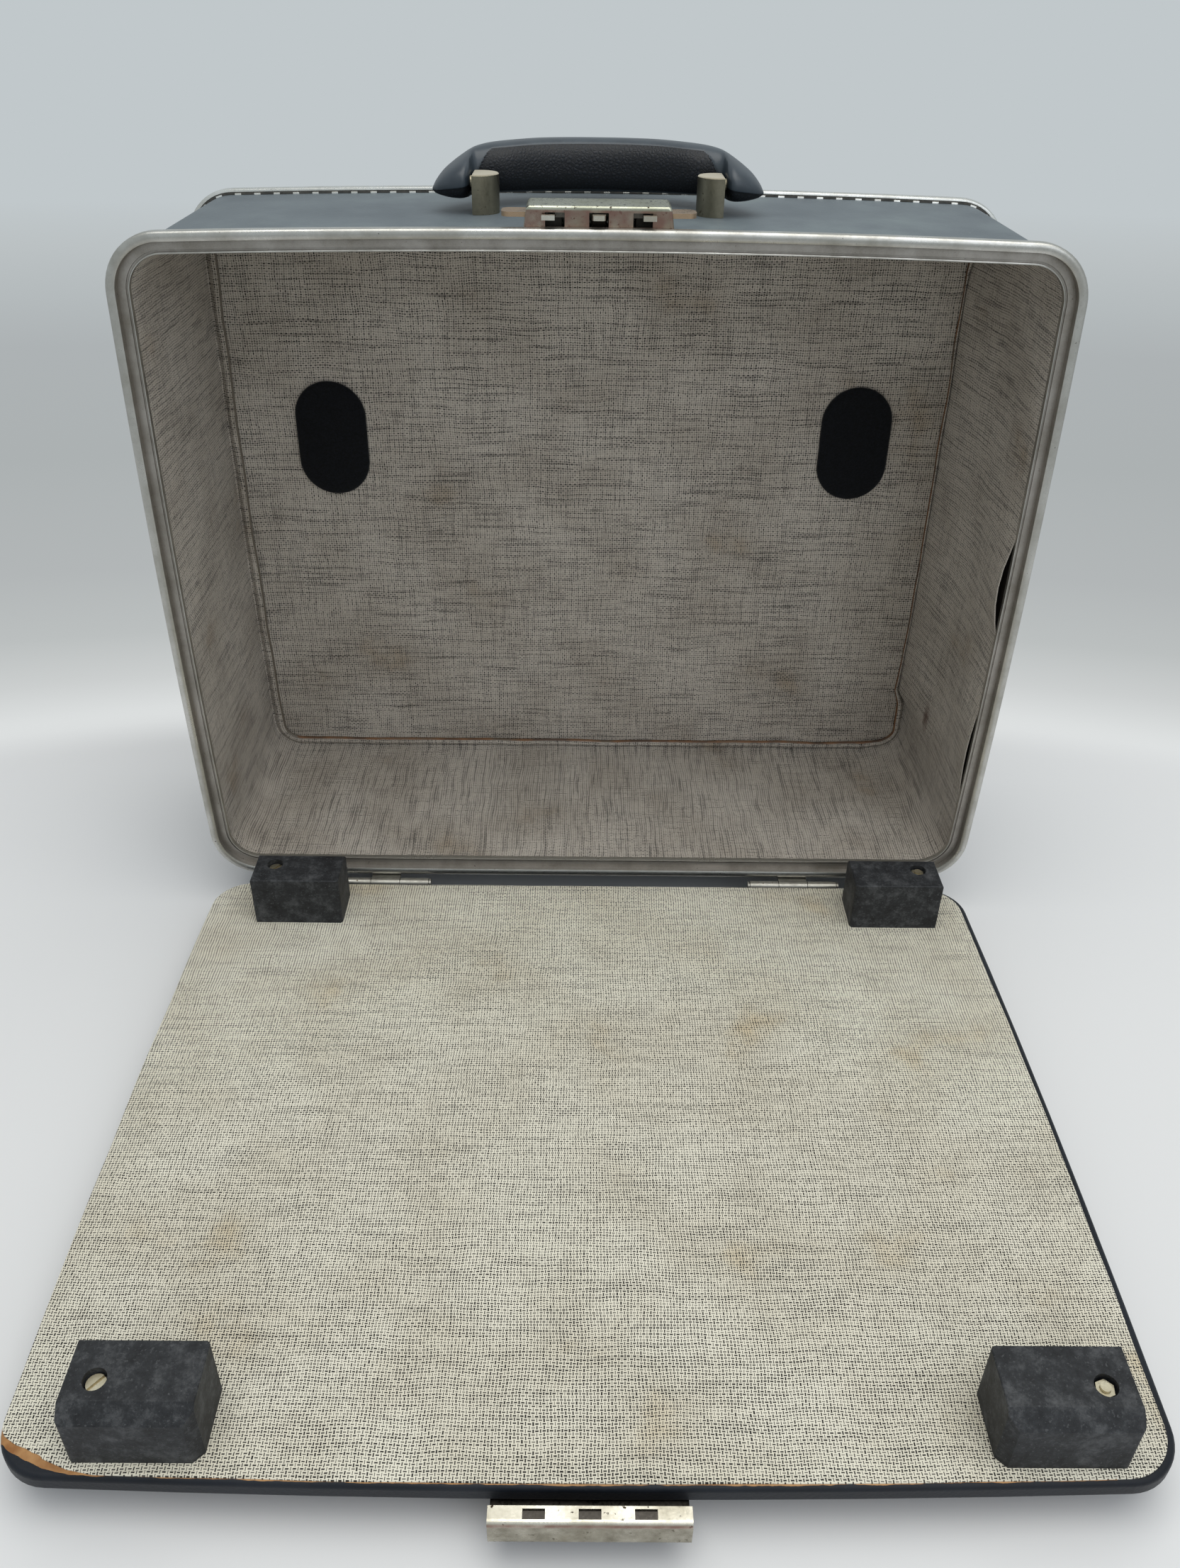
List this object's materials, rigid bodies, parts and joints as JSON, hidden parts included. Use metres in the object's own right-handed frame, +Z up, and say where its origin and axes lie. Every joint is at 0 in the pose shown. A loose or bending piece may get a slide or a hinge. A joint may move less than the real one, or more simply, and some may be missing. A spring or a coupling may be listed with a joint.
{
  "type": "portable typewriter case",
  "caption": "Hinged carrying case for a portable machine, open, its lid standing behind the base, with a sprung two-slider lock and a folding handle.",
  "frame": {"origin": "on the table under the middle of the outline of the open case: the catch plate's front is as far in front of it as the lid's rear is behind it", "axes": "+X to the case's right seen from the front, +Y from the base's front edge to the lid, +Z up; the hinges' common axis runs along +X"},
  "size_m": [0.351, 0.4044, 0.3165],
  "materials": {
    "board": "bare fibre board",
    "base_vinyl": "fine grained black vinyl cloth",
    "base_cloth": "linen weave",
    "block_rubber": "mottled, scuffed",
    "fastener_steel": "dull plated",
    "foot_rubber": "matt",
    "nickel_plate": "worn nickel plate",
    "hinge_steel": "plated",
    "rim_aluminium": "satin, slightly tarnished",
    "lid_vinyl": "fine grained blue-grey vinyl cloth",
    "lid_cloth": "linen weave",
    "felt": "felt",
    "spring_steel": "bright wire",
    "slider_brass": "worn plated brass",
    "handle_plastic": "leather grain on the finger side, smooth outside"
  },
  "bodies": {
    "base": {"base_board": "board", "base_cover": "base_vinyl", "base_lining": "base_cloth", "corner_block_front_left": "block_rubber", "corner_block_front_right": "block_rubber", "corner_block_rear_left": "block_rubber", "corner_block_rear_right": "block_rubber", "block_bolts": "fastener_steel", "block_nuts": "fastener_steel", "base_feet": "foot_rubber", "foot_screws": "fastener_steel", "catch_plate": "nickel_plate", "catch_rivets": "fastener_steel", "hinge_base_leaves": "hinge_steel", "hinge_base_rivets": "fastener_steel", "hinge_pins": "hinge_steel"},
    "lid": {"lid_rim": "rim_aluminium", "lid_side_frame": "board", "lid_back_board": "board", "lid_side_cover": "lid_vinyl", "lid_back_cover": "lid_vinyl", "lid_side_lining": "lid_cloth", "lid_back_lining": "lid_cloth", "rear_binding": "rim_aluminium", "felt_pad_left": "felt", "felt_pad_right": "felt", "lid_bumpers": "foot_rubber", "bumper_screws": "fastener_steel", "hinge_lid_leaves": "hinge_steel", "hinge_lid_rivets": "fastener_steel", "lock_base_plate": "nickel_plate", "lock_housing": "nickel_plate", "lock_tongue": "nickel_plate", "lock_spring_left": "spring_steel", "lock_spring_right": "spring_steel", "lock_rivets": "fastener_steel", "post_left": "nickel_plate", "post_right": "nickel_plate", "handle_pivot_pins": "fastener_steel", "post_screws": "fastener_steel", "post_washers": "fastener_steel"},
    "slider_left": {"slider_left": "slider_brass"},
    "slider_right": {"slider_right": "slider_brass"},
    "handle": {"handle": "handle_plastic"}
  },
  "joints": [
    {"name": "lid_hinge", "type": "hinge", "parent": "base", "child": "lid", "pos_m": [0, 0.08615, 0.0149], "axis": [1, 0, 0], "range_deg": [0, 90]},
    {"name": "handle_swing", "type": "hinge", "parent": "lid", "child": "handle", "pos_m": [0, 0.14715, 0.3043], "axis": [1, 0, 0], "range_deg": [0, 130]},
    {"name": "slider_left_slide", "type": "slide", "parent": "lid", "child": "slider_left", "axis": [1, 0, 0], "range_m": [0, 0.0026], "stiffness_N_per_m": 400, "springref_m": -0.003, "deforming": ["lock_spring_left"]},
    {"name": "slider_right_slide", "type": "slide", "parent": "lid", "child": "slider_right", "axis": [-1, 0, 0], "range_m": [0, 0.0026], "stiffness_N_per_m": 400, "springref_m": -0.003, "deforming": ["lock_spring_right"]}
  ]
}
